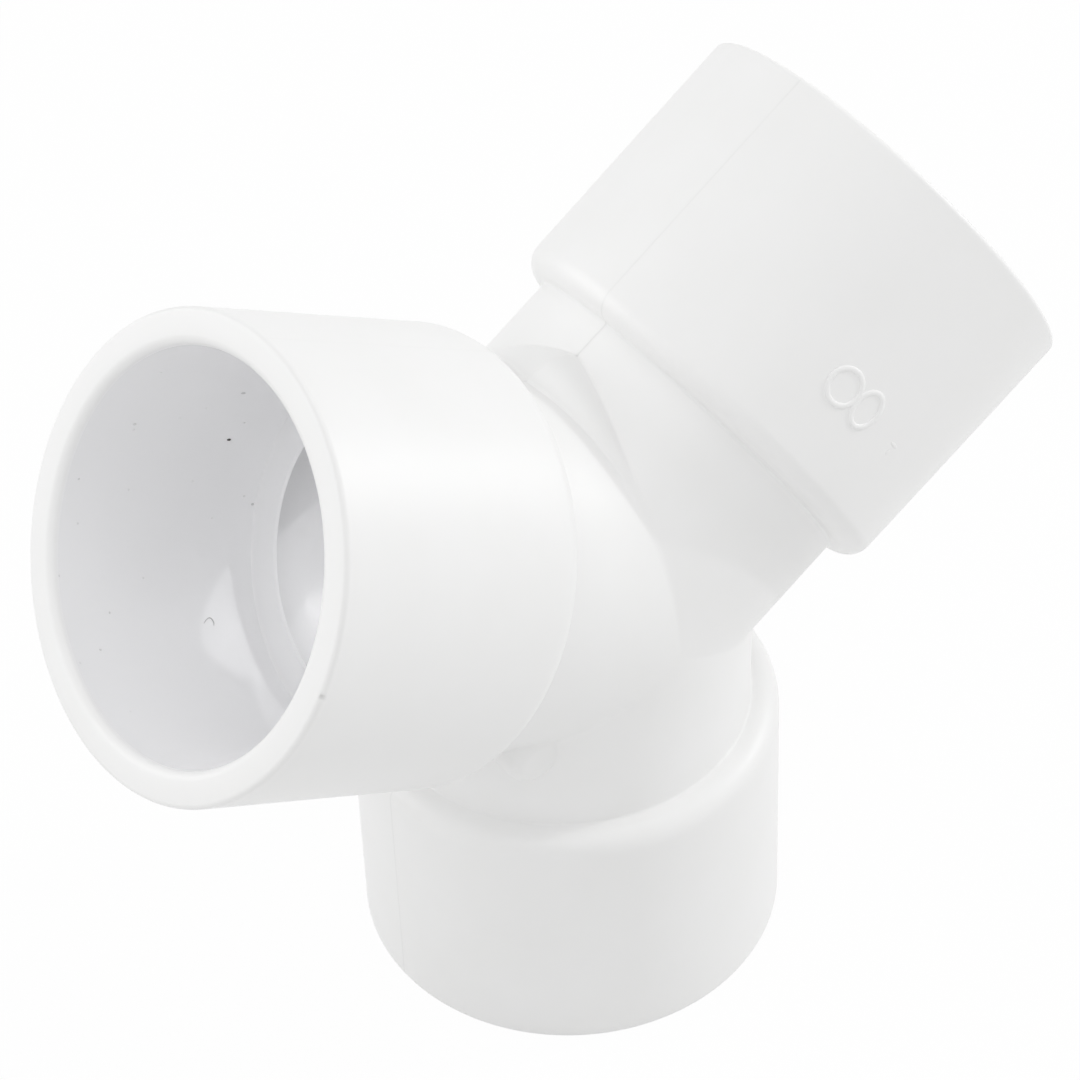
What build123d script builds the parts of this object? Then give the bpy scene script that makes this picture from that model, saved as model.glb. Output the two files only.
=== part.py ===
# Three-way wye pipe fitting in white PVC, for solvent-welded pipe of 2 in nominal size.
# Three equal sockets leave one hub in one flat plane, 120 degrees apart.
# Lengths are in mm and angles in degrees. The origin is where the three arm axes meet.
# The axes lie in the plane Y = 0, one arm points straight down and stands on its mouth.
import os
from math import radians, sin, sqrt, tan

from build123d import *

# Driving dimensions
arm_spacing = 120.0            # angle between neighbouring arms
centre_to_mouth = 76.7         # hub centre to each mouth
socket_depth = 38.7            # mouth to the stop ledge
pipe_diameter = 60.32          # outside of the pipe that goes in
pipe_play = 0.08               # how much wider than the pipe a socket is, on the diameter
socket_wall = 5.5              # socket wall at the mouth
neck_wall = 6.0                # wall of the hub and necks
ledge_width = 2.4              # flat stop ledge that the pipe's end meets
ledge_bevel = 3.2              # 45 degree bevel from the ledge into the waterway
outside_draft = 0.5            # moulding draft on the sockets' outside
shoulder_start = 29.9          # hub centre to the shoulder face
mouth_round = 1.5              # lead-in round inside each mouth
rim_round = 0.8                # round outside each mouth
web_half = 4.8                 # half the width of a crotch web where the mould parts
web_crown = 1.6                # how far the web's top bulges above its edges there
web_reach = 21.0               # parting plane to the web's point
pad_radius = 4.9               # ejector pad
pad_inset = 9.0                # pad centre inside the bare crotch
pad_drop = 8.75                # pad top below the hub's front
tick_width = 0.8               # alignment nick in the left arm's rim
tick_depth = 0.35
tick_length = 1.1

# Sizes that follow from those
socket_bore = (pipe_diameter + pipe_play) / 2
ledge_inner = socket_bore - ledge_width
waterway = ledge_inner - ledge_bevel
neck = waterway + neck_wall
ledge_at = centre_to_mouth - socket_depth
mouth_outer = socket_bore + socket_wall
shoulder = mouth_outer - (centre_to_mouth - shoulder_start) * tan(radians(outside_draft))
shoulder_round = 0.80 * (shoulder - neck)
crease_round = 0.18 * (shoulder - neck)
crotch = neck / sin(radians(arm_spacing / 2))
web_radius = (web_half**2 + web_crown**2) / (2 * web_crown)

# Outside of the arm that points down: neck, shoulder and socket, turned about Z
with BuildPart() as arm_outside:
    with BuildSketch(Plane.XZ):
        with BuildLine():
            Polyline(
                (0, 0),
                (neck, 0),
                (neck, -shoulder_start),
                (shoulder, -shoulder_start),
                (mouth_outer, -centre_to_mouth),
                (0, -centre_to_mouth),
                close=True,
            )
        make_face()
        fillet(vertices().sort_by_distance((neck, -shoulder_start))[0], crease_round)
        fillet(vertices().sort_by_distance((shoulder, -shoulder_start))[0], shoulder_round)
        fillet(vertices().sort_by_distance((mouth_outer, -centre_to_mouth))[0], rim_round)
    revolve(axis=Axis.Z)

# Inside of the same arm: waterway, bevel, stop ledge, straight socket and lead-in
with BuildPart() as arm_inside:
    with BuildSketch(Plane.XZ):
        with BuildLine():
            Polyline(
                (0, 0),
                (waterway, 0),
                (waterway, -(ledge_at - ledge_bevel)),
                (ledge_inner, -ledge_at),
                (socket_bore, -ledge_at),
                (socket_bore, -(centre_to_mouth - mouth_round)),
            )
            RadiusArc(
                (socket_bore, -(centre_to_mouth - mouth_round)),
                (socket_bore + mouth_round, -centre_to_mouth),
                -mouth_round,
            )
            Polyline(
                (socket_bore + mouth_round, -centre_to_mouth),
                (0, -centre_to_mouth),
                (0, 0),
            )
        make_face()
    revolve(axis=Axis.Z)

# Crotch web above the hub: round sections that shrink along the mitre, from the parting plane
# to a point at each side. A section's top clears the mitre by the web's crown and its flanks.
with BuildPart() as crotch_web:
    for side in (-1, 1):
        for share in (0.0, 0.33, 0.66, 0.97):
            station = share * web_reach
            shrink = 1 - share
            mitre = crotch * sqrt(1 - (station / neck) ** 2)
            top = mitre + shrink * (web_half / tan(radians(arm_spacing / 2)) + web_crown)
            with BuildSketch(Plane.XZ.offset(side * station)):
                with Locations((0, top - shrink * web_radius)):
                    Circle(shrink * web_radius)
        loft()

# Ejector pad: a short round post square to the parting plane, flat on top
with BuildPart() as ejector_pad:
    with BuildSketch(Plane.XZ):
        with Locations((0, crotch - pad_inset)):
            Circle(pad_radius)
    extrude(amount=neck - pad_drop)

# Alignment nick, cut across the front of a rim
with BuildPart() as nick:
    with Locations((0, -mouth_outer, -centre_to_mouth)):
        Box(tick_width, 2 * tick_depth, 2 * tick_length)

# The moulded body: three arms and webs about the hub, then the hollows cut out
with BuildPart() as wye_body:
    for turn in (0, arm_spacing, -arm_spacing):
        add(arm_outside.part, rotation=(0, turn, 0))
    for turn in (0, arm_spacing, -arm_spacing):
        add(crotch_web.part, rotation=(0, turn, 0))
    add(ejector_pad.part, rotation=(0, -arm_spacing, 0))
    for turn in (0, arm_spacing, -arm_spacing):
        add(arm_inside.part, rotation=(0, turn, 0), mode=Mode.SUBTRACT)
    add(nick.part, rotation=(0, arm_spacing, 0), mode=Mode.SUBTRACT)

wye_body.part.label = "wye_body"
os.makedirs("parts", exist_ok=True)
export_step(wye_body.part, "parts/wye_body.step")
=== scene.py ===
import bmesh
import bpy
import numpy as np
from mathutils import Matrix, Vector


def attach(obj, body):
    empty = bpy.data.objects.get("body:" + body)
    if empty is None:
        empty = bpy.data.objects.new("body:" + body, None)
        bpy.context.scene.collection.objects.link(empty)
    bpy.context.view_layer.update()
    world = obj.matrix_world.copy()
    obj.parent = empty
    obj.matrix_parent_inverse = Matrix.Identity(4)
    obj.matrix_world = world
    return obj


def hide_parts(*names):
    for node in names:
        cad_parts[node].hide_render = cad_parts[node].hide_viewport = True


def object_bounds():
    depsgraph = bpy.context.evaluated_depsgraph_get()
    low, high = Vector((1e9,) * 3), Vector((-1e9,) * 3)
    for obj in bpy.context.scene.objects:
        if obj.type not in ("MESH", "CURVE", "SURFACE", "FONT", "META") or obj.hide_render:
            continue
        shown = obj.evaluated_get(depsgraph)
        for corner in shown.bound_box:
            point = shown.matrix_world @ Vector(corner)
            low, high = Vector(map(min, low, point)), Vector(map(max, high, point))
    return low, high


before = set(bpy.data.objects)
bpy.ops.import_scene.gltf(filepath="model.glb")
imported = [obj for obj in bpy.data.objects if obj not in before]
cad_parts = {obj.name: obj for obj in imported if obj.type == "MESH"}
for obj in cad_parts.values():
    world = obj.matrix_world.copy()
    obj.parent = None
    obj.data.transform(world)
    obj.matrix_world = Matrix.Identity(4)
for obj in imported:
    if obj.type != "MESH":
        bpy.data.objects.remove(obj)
cad_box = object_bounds()
scene = bpy.context.scene

# Camera: it stands high to the left of the front and looks down into the left socket.
# The view was worked out from the rims' ellipses and the sockets' edges in the photograph.
camera_place = (-0.22195, -0.30693, 0.35372)
camera_right = (0.79664, -0.60358, -0.03240)
camera_up = (0.42940, 0.52740, 0.73312)
camera_back = (-0.42541, -0.59794, 0.67933)
camera = bpy.data.objects.new("camera", bpy.data.cameras.new("camera"))
camera.data.lens = 109.18
camera.data.sensor_width = 36.0
camera.data.clip_start = 0.02
camera.data.clip_end = 20.0
turned = np.array([camera_right, camera_up, camera_back, camera_place]).T
camera.matrix_world = Matrix([*turned.tolist(), [0.0, 0.0, 0.0, 1.0]])
scene.collection.objects.link(camera)
scene.camera = camera

# Moulded body: one piece of rigid white PVC, injection moulded between a front and a back half
# of a mould, with a core drawn out of each socket. The three arms are one shape, turned by 120
# degrees about Y, so one skin is worked out for an arm and laid down three times. Sizes in mm.
neck_radius = 30.6
shoulder_radius = 35.2916
mouth_outer_radius = 35.7
socket_radius = 30.2
ledge_radius = 24.9
waterway_radius = 24.6
neck_end = 27.4
shoulder_at = 29.9
ledge_at = 38.0
mouth_at = 76.7
neck_fillet = 0.5
shoulder_round = 3.75
rim_round = 0.8
lead_in_round = 1.5
ledge_fillet = 0.3
ledge_bevel = 0.3
waterway_round = 0.6
waterway_ridge = 0.14
sin60 = np.sin(np.radians(60.0))
cos60 = 0.5
crotch = neck_radius / sin60
neck_blend = 1.6
web_half = 4.8
web_crown = 1.6
web_reach = 21.0
web_blend = 0.3
web_tip_round = 0.2
web_radius = (web_half**2 + web_crown**2) / (2.0 * web_crown)
pad_radius = 4.7
pad_inset = 9.2
pad_top = 24.0
pad_round = 2.6
pad_blend = 0.5


def soft_least(a, b, reach):
    """The smaller of two distances, rounded where they are within reach of each other:
    min(a, b) - h*h*reach/4, where h is 1 - |a - b| / reach and never below 0."""
    h = np.maximum(1.0 - np.abs(a - b) / np.maximum(reach, 1e-6), 0.0)
    return np.minimum(a, b) - h * h * reach / 4.0


def hub_distance(h, l, f, padded):
    """How far a point lies outside the hub near one crotch, in mm. h runs out along the crotch,
    l across it and f to the front. Each neck is a cylinder, sqrt(c*c + f*f) - radius, where
    c = h sin60 - l cos60 for the near neck and h sin60 + l cos60 for the other. The web is a
    circle across the crotch that shrinks to nothing at web_reach. The pad is a post to the front
    with a round top. Each is joined to the rest by soft_least."""
    near = h * sin60 - l * cos60
    own = np.hypot(near, f) - neck_radius
    other = np.hypot(h * sin60 + l * cos60, f) - neck_radius
    crease = near**2 / (near**2 + f**2)
    hub = soft_least(own, other, neck_blend * crease)
    shrink = 1.0 - np.hypot(f, web_tip_round) / web_reach
    mitre = crotch * np.sqrt(np.clip(1.0 - (f / neck_radius)**2, 0.0, 1.0))
    top = mitre + shrink * (web_half * cos60 / sin60 + web_crown)
    web = np.hypot(h - top + shrink * web_radius, l) - shrink * web_radius
    hub = soft_least(hub, web, web_blend)
    side = np.hypot(h - (crotch - pad_inset), l) - pad_radius
    pad = -soft_least(-side, pad_top - f, pad_round)
    return np.where(padded & (f > 0.0), soft_least(hub, pad, pad_blend), hub)


def columns():
    """Angles round an arm, from one crotch by the front to the other and back. They lie closer
    in the webs' reach, and closest at the seam and at the nick in the middle of the front."""
    seam = np.array([0.0, 0.10, 0.24, 0.5]) / neck_radius
    web = np.radians(np.linspace(2.0, 52.0, 50))
    wide = np.radians(np.linspace(54.6, 86.0, 13))
    front = np.radians(90.0) - np.array([1.1, 0.75, 0.45, 0.2]) / mouth_outer_radius
    quarter = np.concatenate([seam, web, wide, front])
    half = np.concatenate([quarter, [np.pi / 2.0], (np.pi - quarter)[::-1]])
    return np.concatenate([half, (2.0 * np.pi - half[1:-1])[::-1]])


def hub_rows(across, front, slope, padded_side):
    """The hub's and neck's rows of one arm. A ray starts at along = sigma + r |cos| / tan60, and
    r is where it leaves the hub: the outermost step inwards that is inside, then halved again
    and again. The rows lie closer over the webs."""
    web_end, web_rows, neck_rows = 6.3, 26, 10
    out_from, out_to, trials, halvings = 9.0, 1.5, 85, 22
    fine = np.linspace(0.0, web_end, web_rows)[:, None] + 0.0 * slope
    last = neck_end - neck_radius * slope
    share = np.linspace(0.0, 1.0, neck_rows + 1)[1:, None]
    sigma = np.concatenate([fine, web_end + (last - web_end) * share])
    padded = np.sign(across) == padded_side

    def outside(r):
        side = r * np.abs(across)
        along = sigma + r * slope
        h = along * cos60 + side * sin60
        l = along * sin60 - side * cos60
        return hub_distance(h, l, r * front, padded)

    trial = np.linspace(neck_radius + out_from, neck_radius - out_to, trials)
    inside = np.array([outside(r) < 0.0 for r in trial])
    first = inside.argmax(axis=0)
    low, high = trial[first], trial[first - 1]
    for _ in range(halvings):
        middle = (low + high) / 2.0
        is_out = outside(middle) > 0.0
        low, high = np.where(is_out, low, middle), np.where(is_out, middle, high)
    r = (low + high) / 2.0
    return np.stack([sigma + r * slope, r * across, r * front], axis=-1)


def rounded(corners, rounds, steps):
    """A line through corners with each inner corner swapped for an arc that touches both runs.
    The arc starts round * tan(turn / 2) before the corner and ends as far behind it."""
    corners = np.array(corners, float)
    line = [corners[:1]]
    for before, at, after, size, count in zip(corners, corners[1:], corners[2:], rounds, steps):
        inwards = (before - at) / np.linalg.norm(before - at)
        outwards = (after - at) / np.linalg.norm(after - at)
        half = np.arccos(np.clip(-inwards @ outwards, -1.0, 1.0)) / 2.0
        reach = size * np.tan(half)
        middle = inwards + outwards
        centre = at + middle / np.linalg.norm(middle) * np.hypot(reach, size)
        start, end = at + inwards * reach - centre, at + outwards * reach - centre
        t = np.linspace(0.0, 1.0, count)[:, None]
        arc = np.sin((1.0 - t) * 2.0 * half) * start + np.sin(t * 2.0 * half) * end
        line.append(centre + arc / np.sin(2.0 * half))
    line.append(corners[-1:])
    return np.concatenate(line)


def arm_skin(padded_side):
    """Rows of points (along, across, front) of one arm's whole skin, as an array rows x columns
    x 3, how much each point follows its ray in along, and how many rows lie outside. Past the
    hub a row is a circle, (along, r cos, r sin), with along and r from the socket's profile,
    and in the waterway it runs on to the mitre, where along = r |cos| / tan60."""
    fillet_points, shoulder_points, rim_points, drain_rows = 6, 14, 7, 5
    lead_in_points, ledge_points, waterway_points = 9, 4, 8
    angle = columns()
    across, front = np.cos(angle), np.sin(angle)
    slope = np.abs(across) * cos60 / sin60
    hub = hub_rows(across, front, slope, padded_side)

    line = rounded(
        [(neck_end, neck_radius), (shoulder_at, neck_radius), (shoulder_at, shoulder_radius),
         (mouth_at, mouth_outer_radius), (mouth_at, socket_radius), (ledge_at, socket_radius),
         (ledge_at, ledge_radius), (ledge_at - ledge_bevel, waterway_radius),
         (0.0, waterway_radius)],
        [neck_fillet, shoulder_round, rim_round, lead_in_round, ledge_fillet, ledge_fillet,
         waterway_round],
        [fillet_points, shoulder_points, rim_points, lead_in_points, ledge_points, ledge_points,
         waterway_points],
    )[1:-1]
    ridge = np.sin(np.linspace(0.0, np.pi, waterway_points))
    line[-waterway_points:, 1] -= waterway_ridge * ridge
    to_mouth = np.array([36.0, 26.0, 16.0, 8.0, 4.5, 3.0, 2.2, 1.7, 1.3, 1.0])
    draft = (mouth_outer_radius - shoulder_radius) / (mouth_at - shoulder_at)
    wall = np.stack([mouth_at - to_mouth, mouth_outer_radius - to_mouth * draft], axis=-1)
    before_wall = fillet_points + shoulder_points
    line = np.concatenate([line[:before_wall], wall, line[before_wall:]])
    way = np.linspace(1.0, 0.0, drain_rows + 1)[1:, None]
    bottom = waterway_radius * slope
    along = np.concatenate([line[:, 0:1] + 0.0 * slope, bottom + (line[-1, 0] - bottom) * way])
    radius = np.concatenate([line[:, 1:2], waterway_radius + 0.0 * way])

    skin = np.concatenate([hub, np.stack([along, radius * across, radius * front], axis=-1)])
    lean = np.zeros(skin.shape[:2])
    lean[:len(hub)] = slope
    return skin, lean, len(hub) + before_wall + len(wall) + rim_points


# Seams, nick and cores: the mould's halves leave a thin ridge all round, weaker on some sockets.
# The left rim has a small alignment nick, and the right arm a shallow pit where its web ends.
# The material paints the seam, the nick and the pit darker: painted shade.
seam_shows = {"left": 0.15, "right": 0.45, "down": 0.7}
seam_high = 0.05
seam_half = 0.15
seam_start, seam_grows = 5.2, 0.4
seam_end, seam_fades = 0.1, 1.2
socket_grows, mouth_near = 2.0, 3.0
nick_deep = 0.3
nick_inset = 0.40
nick_half_long, nick_half_wide = 0.28, 0.36
pit_at, pit_half_long, pit_half_wide, pit_share = 5.5, 0.35, 0.3, 0.6
core_start, core_grows = 0.9, 0.6


def moulded_marks(skin, lean, outside_rows, arm):
    """Adds to the outside skin the seam, a ridge seam_high exp(-(front / seam_half)^2), and the
    nick, as deep as nick_deep exp(-(x / half)^4) in both its directions. Gives the new points,
    and for each how strongly it is seam, nick and core-moulded inside. The seam shows from the
    web's corner on, and as much on each socket as seam_shows says, or on one side of it up to
    twice that by its mouth."""
    out = skin.copy()
    along, across, front = skin[..., 0], skin[..., 1], skin[..., 2]
    r = np.hypot(across, front)
    outer = np.arange(len(skin))[:, None] < outside_rows
    from_mitre = along - np.abs(across) * cos60 / sin60
    on_web = np.clip((from_mitre - seam_start) / seam_grows, 0.0, 1.0)
    on_socket = np.clip((along - shoulder_at) / socket_grows, 0.0, 1.0)
    by_mouth = np.exp(-((mouth_at - along) / mouth_near)**2) * (across > 0.0)
    shows = on_web * (1.0 + on_socket * (seam_shows[arm] * (1.0 + by_mouth) - 1.0))
    fade = np.clip((mouth_at - seam_end - along) / seam_fades, 0.0, 1.0)
    seam = np.exp(-(front / seam_half)**2) * outer * fade * shows
    nick = 0.0 * seam
    if arm == "left":
        near_front = np.exp(-(across / nick_half_wide)**4) * (front > 0.0)
        near_rim = np.exp(-((along - mouth_at + nick_inset) / nick_half_long)**4)
        nick = near_front * outer * near_rim
    if arm == "right":
        pit = ((from_mitre - pit_at) / pit_half_long)**2 + (front / pit_half_wide)**2
        nick = pit_share * np.exp(-pit) * outer * (across > 0.0)
    grow = seam_high * seam - nick_deep * nick
    out[..., 0] += grow * lean
    out[..., 1] *= 1.0 + grow / r
    out[..., 2] *= 1.0 + grow / r
    core = np.clip((mouth_at - core_start - along) / core_grows, 0.0, 1.0) * (1.0 - outer)
    return out, seam, nick, core


arm_turns = {"left": 120.0, "right": -120.0, "down": 0.0}
padded_sides = {"left": 1.0, "right": 0.0, "down": -1.0}


def in_frame(local, arm):
    """Turns points (along, across, front) of an arm into the model's frame, in metres:
    along goes down and across to the right, both then turned about Y, and front is -Y."""
    turn = np.radians(arm_turns[arm])
    x, z = local[..., 1], -local[..., 0]
    return np.stack([x * np.cos(turn) + z * np.sin(turn), -local[..., 2],
                     z * np.cos(turn) - x * np.sin(turn)], axis=-1) * 0.001


def finished_mesh(name, grids, merge, values=None, ring=False):
    """Makes a smooth-shaded object at the origin from grids of points in metres, rows x columns
    x 3. Each is faced with squares and closes on itself round the columns, and where ring is
    true also from its last row to its first. Points closer than merge are joined. Values are
    numbers kept at each point for the material, by name."""
    faces, start = [], 0
    for grid in grids:
        rows, cols = grid.shape[:2]
        i, j = np.meshgrid(np.arange(rows if ring else rows - 1), np.arange(cols), indexing="ij")
        n, k = (i + 1) % rows, (j + 1) % cols
        squares = np.stack([i * cols + j, n * cols + j, n * cols + k, i * cols + k], axis=-1)
        faces.append(start + squares.reshape(-1, 4))
        start += rows * cols
    points = np.concatenate([grid.reshape(-1, 3) for grid in grids])
    mesh = bpy.data.meshes.new(name)
    mesh.from_pydata(points.tolist(), [], np.concatenate(faces).tolist())
    for key, numbers in (values or {}).items():
        mesh.attributes.new(key, "FLOAT", "POINT").data.foreach_set("value", numbers.ravel())
    work = bmesh.new()
    work.from_mesh(mesh)
    bmesh.ops.remove_doubles(work, verts=work.verts, dist=merge)
    bmesh.ops.recalc_face_normals(work, faces=work.faces)
    work.to_mesh(mesh)
    work.free()
    mesh.shade_smooth()
    made = bpy.data.objects.new(name, mesh)
    scene.collection.objects.link(made)
    return made


skins, seams, nicks, cores = [], [], [], []
for arm in arm_turns:
    skin, seam, nick, core = moulded_marks(*arm_skin(padded_sides[arm]), arm)
    skins.append(in_frame(skin, arm))
    seams.append(seam)
    nicks.append(nick)
    cores.append(core)
body = finished_mesh("moulded_body", skins, merge=2e-6, values={
    "seam": np.concatenate(seams),
    "nick": np.concatenate(nicks),
    "core": np.concatenate(cores),
})


def linear(code):
    """A colour written as six sRGB hex digits, as linear RGBA."""
    part = np.array([int(code[i:i + 2], 16) for i in (0, 2, 4)]) / 255.0
    lin = np.where(part <= 0.04045, part / 12.92, ((part + 0.055) / 1.055) ** 2.4)
    return (*lin.tolist(), 1.0)


def bare_tree(owner):
    """Turns on the nodes of a material or a world and gives its node tree with nothing in it."""
    owner.use_nodes = True
    owner.node_tree.nodes.clear()
    return owner.node_tree


def node(tree, kind, settings=None, inputs=None, links=None):
    """Adds one node to a tree with its settings, its sockets' values and its incoming links."""
    made = tree.nodes.new(kind)
    for name, value in (settings or {}).items():
        setattr(made, name, value)
    for name, value in (inputs or {}).items():
        made.inputs[name].default_value = value
    for name, source in (links or {}).items():
        tree.links.new(source, made.inputs[name])
    return made


# Rigid PVC, injection moulded: opaque and white, semi-gloss outside from a plain steel mould and
# glossier where the polished core shaped it. Flow leaves it very slightly uneven, as on an orange.
peel_wave = 0.0028
peel_high = 0.00002
peel_strength = 0.35
cloud_wave = 0.014
# seam_dark and nick_dark set how far painted shade darkens the seam, and the nick and pit.
seam_dark = 0.30
nick_dark = 0.22
outside_roughness = 0.36
core_roughness = 0.22
cloud_roughness = 0.06
moulded_pvc = bpy.data.materials.new("white_moulded_pvc")
tree = bare_tree(moulded_pvc)
place = node(tree, "ShaderNodeTexCoord")
peel = node(tree, "ShaderNodeTexNoise", {"noise_dimensions": "3D"}, {
    "Scale": 1.0 / peel_wave,
    "Detail": 1.5,
    "Roughness": 0.45,
}, {"Vector": place.outputs["Object"]})
cloud = node(tree, "ShaderNodeTexNoise", None, {
    "Scale": 1.0 / cloud_wave,
    "Detail": 3.0,
}, {"Vector": place.outputs["Object"]})
core = node(tree, "ShaderNodeAttribute", {"attribute_name": "core"})
seam = node(tree, "ShaderNodeAttribute", {"attribute_name": "seam"})
nick = node(tree, "ShaderNodeAttribute", {"attribute_name": "nick"})
clouded = node(tree, "ShaderNodeMix", {"data_type": "RGBA"}, {
    "A": linear("f5f5f4"),
    "B": linear("f9f9f9"),
}, {"Factor": cloud.outputs["Fac"]})
# Painted light: where the core moulded it, the inside is painted a shade lighter and cooler than
# the outside, standing in for light that reaches the bore and waterway.
core_painted_light = node(tree, "ShaderNodeMix", {"data_type": "RGBA"}, {
    "B": linear("fcfcfd"),
}, {"Factor": core.outputs["Fac"], "A": clouded.outputs["Result"]})
# Painted shade: the seam's thin ridge is painted darker, in patches where the cloud noise is high,
# for the shade along the ridge.
patchy_seam_shade = node(tree, "ShaderNodeMath", {"operation": "MULTIPLY"}, None, {
    0: seam.outputs["Fac"],
    1: cloud.outputs["Fac"],
})
seam_share = node(tree, "ShaderNodeMath", {"operation": "MULTIPLY"}, {1: seam_dark}, {
    0: patchy_seam_shade.outputs["Value"],
})
seam_shaded = node(tree, "ShaderNodeMix", {"data_type": "RGBA"}, {
    "B": linear("8f8f8c"),
}, {"Factor": seam_share.outputs["Value"], "A": core_painted_light.outputs["Result"]})
# Painted shade: the nick on the left rim and the pit on the right arm are painted darker, for the
# shade in these small hollows.
nick_share = node(tree, "ShaderNodeMath", {"operation": "MULTIPLY"}, {1: nick_dark}, {
    0: nick.outputs["Fac"],
})
nick_shaded = node(tree, "ShaderNodeMix", {"data_type": "RGBA"}, {
    "B": linear("6e6c68"),
}, {"Factor": nick_share.outputs["Value"], "A": seam_shaded.outputs["Result"]})
gloss = node(tree, "ShaderNodeMapRange", None, {
    "To Min": outside_roughness,
    "To Max": core_roughness,
}, {"Value": core.outputs["Fac"]})
uneven = node(tree, "ShaderNodeMath", {"operation": "MULTIPLY_ADD"}, {1: cloud_roughness}, {
    0: cloud.outputs["Fac"],
    2: gloss.outputs["Result"],
})
relief = node(tree, "ShaderNodeBump", None, {
    "Strength": peel_strength,
    "Distance": peel_high,
}, {"Height": peel.outputs["Fac"]})
pvc = node(tree, "ShaderNodeBsdfPrincipled", None, {
    "IOR": 1.53,
}, {
    "Base Color": nick_shaded.outputs["Result"],
    "Roughness": uneven.outputs["Value"],
    "Normal": relief.outputs["Normal"],
})
node(tree, "ShaderNodeOutputMaterial", links={"Surface": pvc.outputs["BSDF"]})
body.data.materials.append(moulded_pvc)
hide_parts("wye_body")
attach(body, "root")

# Size numeral: an 8 as wide as a pencil, raised on the front of the right socket. The mould has
# it engraved, so on the fitting it stands up as two rounded rings of the same white PVC. Two low
# bumps beside it were moulded the same way and are worn almost flat. Sizes in mm.
numeral_along = 46.0
numeral_arc = 40.5
numeral_radius = 35.52
stroke_half = 0.46
stroke_high = 0.24


def on_right_socket(along, arc, high):
    """Points (along, r cos, r sin) of the right arm at along, arc mm round from the crotch side's
    seam to the front, and high above its outside wall. There r widens evenly from the shoulder
    to the mouth, and the angle is arc / numeral_radius."""
    share = (along - shoulder_at) / (mouth_at - shoulder_at)
    r = shoulder_radius + share * (mouth_outer_radius - shoulder_radius) + high
    angle = arc / numeral_radius
    return in_frame(np.stack([along, r * np.cos(angle), r * np.sin(angle)], axis=-1), "right")


def raised_ring(along, arc, half_along, half_arc):
    """A ridge along an ellipse: its middle line at angle t is the centre plus
    (half_along cos t, half_arc sin t), and at w half-widths from it the height is
    stroke_high (1 - w^2)^0.6. The last points of a row lie under the wall and close the ridge."""
    steps, foot_deep, under_deep = 72, 0.05, 0.25
    t = np.linspace(0.0, 2.0 * np.pi, steps, endpoint=False)[:, None]
    w = np.array([-1.0, -0.93, -0.75, -0.5, -0.2, 0.2, 0.5, 0.75, 0.93, 1.0, 0.7, -0.7])
    high = stroke_high * np.clip(1.0 - w**2, 0.0, 1.0)**0.6
    high[[0, 9]] = -foot_deep
    high[[10, 11]] = -under_deep
    side_along, side_arc = np.cos(t) / half_along, np.sin(t) / half_arc
    size = np.hypot(side_along, side_arc)
    return on_right_socket(along + half_along * np.cos(t) + side_along / size * w * stroke_half,
                           arc + half_arc * np.sin(t) + side_arc / size * w * stroke_half,
                           high + 0.0 * t * w)


def low_dome(half_along, half_arc, high, steps):
    """A flat bump with an oval outline: at share p of the way out its height is
    high (1 - p^2)^0.5. Gives its rows as (along, arc, height) about its middle; the last two
    close it underneath."""
    t = np.linspace(0.0, 2.0 * np.pi, steps, endpoint=False)[None, :]
    p = np.array([0.0, 0.35, 0.65, 0.88, 1.0, 0.6, 0.0])[:, None]
    up = np.array([1.0, 0.94, 0.76, 0.47, -0.2, -1.0, -1.0])[:, None] * high
    return p * half_along * np.cos(t), p * half_arc * np.sin(t), up + 0.0 * t


# Each ring has how far round it lies from the numeral's middle, and its half sizes along and
# round. Each bump has its place along and round, its half sizes along and round, and its height.
rings = [
    raised_ring(numeral_along, numeral_arc + arc, half_along, half_arc)
    for arc, half_along, half_arc in ((-2.72, 2.92, 2.82), (2.78, 3.0, 2.27))
]
numeral = finished_mesh("size_numeral_8", rings, merge=1e-7, ring=True)
bumps = []
for along, arc, half_along, half_arc, high in (
    (45.6, 52.35, 0.32, 1.0, 0.07),
    (44.2, 52.4, 0.5, 0.3, 0.05),
):
    go_along, go_arc, up = low_dome(half_along, half_arc, high, steps=20)
    bumps.append(on_right_socket(along + go_along, arc + go_arc, up))
worn_mark = finished_mesh("worn_mark", bumps, merge=1e-7)
for mark in (numeral, worn_mark):
    mark.data.materials.append(moulded_pvc)
    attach(mark, "root")

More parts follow.
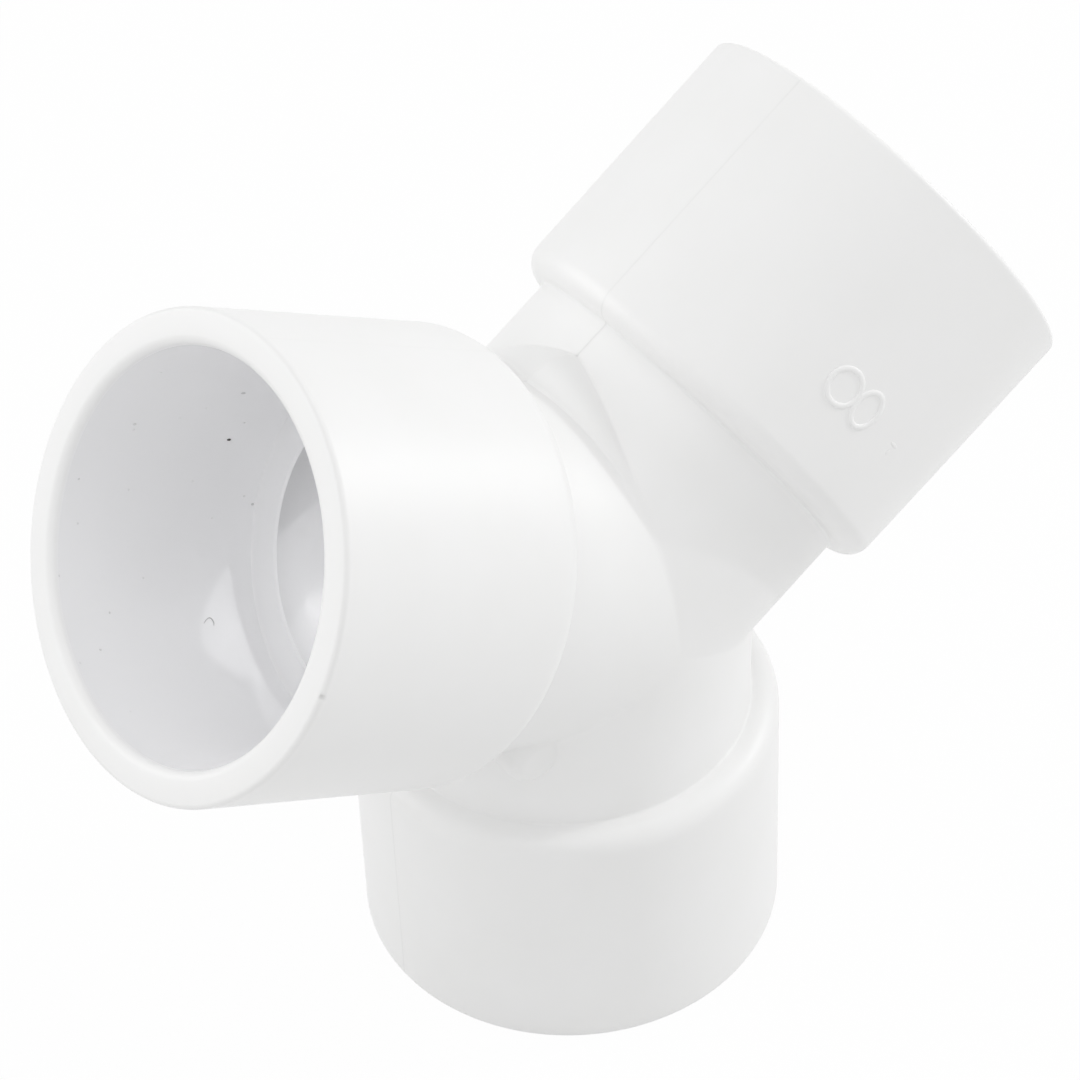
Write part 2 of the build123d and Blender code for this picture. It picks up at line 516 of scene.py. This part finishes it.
# Grit: dark crumbs and one bent fibre of packing dust that cling to the left socket's bore and
# the ledge behind it. Each crumb has its distance along the arm, its angle from the crotch side's
# seam towards the front, its half sizes along and round, and how dark it is.
crumb_high = 0.10
crumbs = {
    "long_crumb": (47.2, -94.2, 0.42, 0.22, 1.0),
    "bar_crumb": (50.1, -112.7, 0.50, 0.22, 0.30),
    "cluster": (66.6, -98.9, 0.35, 0.26, 0.18),
    "cluster_tail": (66.3, -97.0, 0.20, 0.22, 0.12),
    "ledge_crumb": (38.6, -73.4, 0.30, 0.22, 0.30),
    "twin_crumb": (40.6, -75.9, 0.25, 0.18, 0.15),
    "rim_dot": (73.2, -80.7, 0.20, 0.18, 0.20),
    "edge_dot": (72.0, -67.7, 0.18, 0.20, 0.18),
    "middle_dot": (63.4, -77.6, 0.20, 0.18, 0.12),
    "top_dot": (69.1, -121.5, 0.20, 0.15, 0.06),
    "lower_crumb": (45.9, -100.4, 0.25, 0.20, 0.12),
    "wide_crumb": (55.0, -105.7, 0.22, 0.18, 0.08),
    "faint_crumb": (58.8, -101.5, 0.22, 0.18, 0.08),
    "upper_crumb": (51.5, -80.3, 0.22, 0.18, 0.08),
    "side_crumb": (46.4, -69.2, 0.22, 0.18, 0.10),
    "mouth_crumb": (75.2, -52.9, 0.16, 0.20, 0.12),
    "first_dot": (59.5, -51.9, 0.18, 0.20, 0.14),
    "second_dot": (66.7, -42.0, 0.20, 0.20, 0.22),
    "third_dot": (70.1, -30.9, 0.24, 0.18, 0.20),
    "fourth_dot": (74.6, -27.0, 0.18, 0.18, 0.08),
    "fifth_dot": (70.0, -9.2, 0.18, 0.15, 0.10),
}


def on_left_bore(along, degrees, arc, high):
    """Points (along, r cos, r sin) on the left arm's bore at along, at degrees from the crotch
    side's seam towards the front and arc mm further round, where r is socket_radius - high."""
    angle = np.radians(degrees) + arc / socket_radius
    r = socket_radius - high
    return in_frame(np.stack([along, r * np.cos(angle), r * np.sin(angle)], axis=-1), "left")


domes, tones = [], []
for along, degrees, half_along, half_arc, dark in crumbs.values():
    go_along, go_arc, up = low_dome(half_along, half_arc, crumb_high, steps=12)
    domes.append(on_left_bore(along + go_along, degrees, go_arc, up))
    tones.append(np.full(up.shape, dark))
grit = finished_mesh("bore_grit", domes, merge=1e-7, values={"dark": np.concatenate(tones)})

# Fibre: a 3 mm curl of packing thread stuck to the bore near the ledge, thin at both its ends.
# Its middle line runs through six bends, smoothed, and a round section is carried along it.
bend_along = np.array([49.2, 48.6, 47.9, 47.4, 47.1, 47.3])
bend_degrees = np.array([-37.8, -38.9, -39.7, -39.4, -38.2, -37.0])
fibre_half = 0.065
fibre_lift = 0.07
fibre_dark = 0.45
fibre_rows = 26
fibre_sides = 8
bends = np.arange(len(bend_along))
t = np.linspace(0.0, bends[-1], fibre_rows)
run = np.stack([np.interp(t, bends, bend_along),
                np.radians(np.interp(t, bends, bend_degrees)) * socket_radius], axis=-1)
for _ in range(3):
    run[1:-1] = (run[:-2] + 2.0 * run[1:-1] + run[2:]) / 4.0
side = np.gradient(run, axis=0)[:, ::-1] * np.array([1.0, -1.0])
side = side / np.linalg.norm(side, axis=-1, keepdims=True)
turn = np.linspace(0.0, 2.0 * np.pi, fibre_sides, endpoint=False)
from_middle = t / (bends[-1] / 2.0) - 1.0
thick = fibre_half * np.sqrt(np.clip(1.0 - from_middle**4, 0.0, 1.0))[:, None]
thread = on_left_bore(run[:, 0:1] + side[:, 0:1] * thick * np.cos(turn), 0.0,
                      run[:, 1:2] + side[:, 1:2] * thick * np.cos(turn),
                      fibre_lift + thick * np.sin(turn))
fibre = finished_mesh("bent_fibre", [thread], merge=1e-6, values={
    "dark": np.full(thread.shape[:2], fibre_dark),
})

# Dust and grit, dry and crushed: matt and grey-brown, with a fine grain. The thin crumbs let the
# white wall show through and look pale.
grain_size = 0.00025
dry_grit = bpy.data.materials.new("dry_brown_grit")
tree = bare_tree(dry_grit)
place = node(tree, "ShaderNodeTexCoord")
grain = node(tree, "ShaderNodeTexNoise", None, {"Scale": 1.0 / grain_size, "Detail": 2.0}, {
    "Vector": place.outputs["Object"],
})
brown = node(tree, "ShaderNodeMix", {"data_type": "RGBA"}, {
    "A": linear("2e2a2c"),
    "B": linear("5d5654"),
}, {"Factor": grain.outputs["Fac"]})
dark = node(tree, "ShaderNodeAttribute", {"attribute_name": "dark"})
tone = node(tree, "ShaderNodeMix", {"data_type": "RGBA"}, {
    "A": linear("fafafb"),
}, {"Factor": dark.outputs["Fac"], "B": brown.outputs["Result"]})
crumb = node(tree, "ShaderNodeBsdfPrincipled", None, {"Roughness": 0.9}, {
    "Base Color": tone.outputs["Result"],
})
node(tree, "ShaderNodeOutputMaterial", links={"Surface": crumb.outputs["BSDF"]})
for dirt in (grit, fibre):
    dirt.data.materials.append(dry_grit)
    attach(dirt, "root")

# Floor: a sheet of matt white paper just under the fitting. What the camera sees of it is lifted
# to white, and a trace of the fitting's own soft shadow stays on it.
floor_half = 3.0
floor_gap = 0.00005
floor_lift = 0.97
floor_level = cad_box[0].z - floor_gap
floor_mesh = bpy.data.meshes.new("floor")
floor_mesh.from_pydata(
    [(-floor_half, -floor_half, floor_level), (floor_half, -floor_half, floor_level),
     (floor_half, floor_half, floor_level), (-floor_half, floor_half, floor_level)],
    [],
    [(0, 1, 2, 3)],
)
floor = bpy.data.objects.new("floor", floor_mesh)
scene.collection.objects.link(floor)


def seen_directly(tree):
    """A socket that is 1 for what the camera, a reflection or clear glass looks at and 0 for the
    light that falls on other things: the greatest of the three kinds of ray."""
    ray = node(tree, "ShaderNodeLightPath")
    seen = node(tree, "ShaderNodeMath", {"operation": "MAXIMUM"}, None, {
        0: ray.outputs["Is Camera Ray"],
        1: ray.outputs["Is Glossy Ray"],
    })
    seen = node(tree, "ShaderNodeMath", {"operation": "MAXIMUM"}, None, {
        0: seen.outputs["Value"],
        1: ray.outputs["Is Transmission Ray"],
    })
    return seen.outputs["Value"]


sheet = bpy.data.materials.new("white_paper_sheet")
tree = bare_tree(sheet)
matt = node(tree, "ShaderNodeBsdfDiffuse", None, {"Color": linear("f0f0f0")})
white = node(tree, "ShaderNodeEmission", None, {"Color": (1.0, 1.0, 1.0, 1.0), "Strength": 1.0})
share = node(tree, "ShaderNodeMath", {"operation": "MULTIPLY"}, {1: floor_lift}, {
    0: seen_directly(tree),
})
lifted = node(tree, "ShaderNodeMixShader", None, None, {
    "Fac": share.outputs["Value"],
    1: matt.outputs["BSDF"],
    2: white.outputs["Emission"],
})
node(tree, "ShaderNodeOutputMaterial", links={"Surface": lifted.outputs["Shader"]})
floor_mesh.materials.append(sheet)

# Light: a white room all round, large soft lamps, and a small window far off to the right,
# whose light also falls through the right socket onto the left one's bore. Each lamp has its
# place and side in metres, its watts, and whether gloss mirrors it.
room_level = 0.58
window_place = (1.036, -0.357, 0.488)
scene.world = bpy.data.worlds.new("white_room")
tree = bare_tree(scene.world)
level = node(tree, "ShaderNodeMapRange", None, {"To Min": room_level, "To Max": 1.0}, {
    "Value": seen_directly(tree),
})
air = node(tree, "ShaderNodeBackground", None, {"Color": (1.0, 1.0, 1.0, 1.0)}, {
    "Strength": level.outputs["Result"],
})
node(tree, "ShaderNodeOutputWorld", links={"Surface": air.outputs["Background"]})


def hang(lamp, place, in_gloss):
    """Hangs a lamp at its place, turned so that it shines at the origin."""
    hung = bpy.data.objects.new(lamp.name, lamp)
    aim = Vector(place).to_track_quat("Z", "Y")
    hung.matrix_world = Matrix.Translation(place) @ aim.to_matrix().to_4x4()
    hung.visible_glossy = in_gloss
    scene.collection.objects.link(hung)


for name, place, size, watts, in_gloss in (
    ("window", window_place, 0.02, 1.7, False),
    ("right_softbox", window_place, 0.4, 2.2, True),
    ("back_softbox", (-0.78, 0.88, 0.35), 0.9, 3.5, True),
    ("overhead_softbox", (0.0, 0.0, 1.2), 0.8, 2.2, True),
    ("left_softbox", (-0.6, -0.6, 0.849), 0.8, 1.65, True),
):
    lamp = bpy.data.lights.new(name, "AREA")
    lamp.shape = "SQUARE"
    lamp.size = size
    lamp.energy = watts
    hang(lamp, place, in_gloss)

# Beam: a narrow lamp in line with the right socket. Its light falls only down that socket, and
# brightens the waterway beyond the left socket's ledge.
beam_place = (1.039, 0.0, 0.6)
beam = bpy.data.lights.new("beam", "SPOT")
beam.energy = 13.0
beam.spot_size = np.radians(2.0)
beam.spot_blend = 0.3
beam.shadow_soft_size = 0.02
hang(beam, beam_place, False)

scene.view_settings.view_transform = "Standard"
